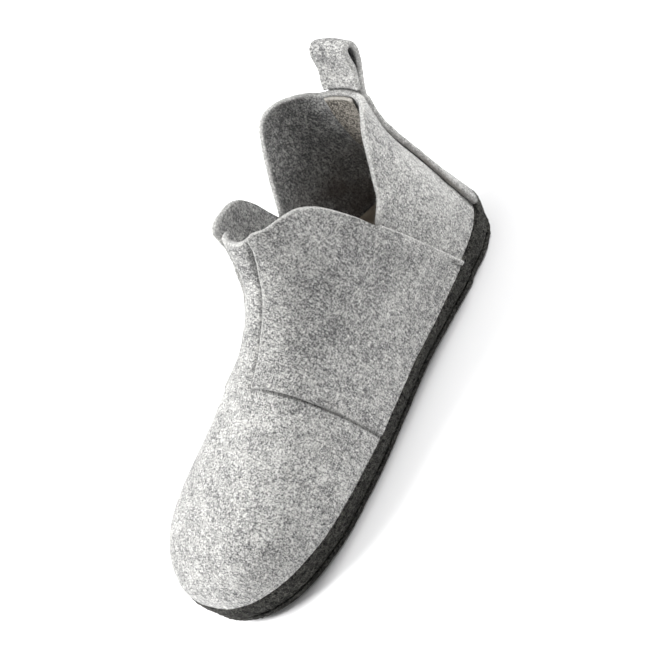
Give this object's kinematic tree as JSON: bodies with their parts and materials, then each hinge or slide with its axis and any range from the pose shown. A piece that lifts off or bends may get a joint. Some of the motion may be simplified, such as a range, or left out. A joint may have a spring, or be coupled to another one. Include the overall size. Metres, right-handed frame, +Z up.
{
  "type": "felt slipper",
  "caption": "Ankle-high felt slipper with raised quarters, a notched collar, a heel pull loop and a low rubber sole; left foot.",
  "frame": {"origin": "middle of the slipper's bounding box, on the floor it stands on", "axes": "+X from heel to toe, +Y towards the outer side of the left foot, +Z up"},
  "size_m": [0.2776, 0.1012, 0.1368],
  "materials": {
    "wool_felt": "light grey heather wool felt, raw cut edges",
    "heel_lining": "brown woven lining",
    "footbed": "tan napped footbed cover",
    "midsole_rubber": "matt rough charcoal",
    "outsole_rubber": "matt finely pebbled charcoal"
  },
  "bodies": {
    "root": {"upper": "wool_felt", "heel_strip": "wool_felt", "heel_lining": "heel_lining", "insole": "footbed", "midsole": "midsole_rubber", "outsole": "outsole_rubber"}
  },
  "joints": []
}
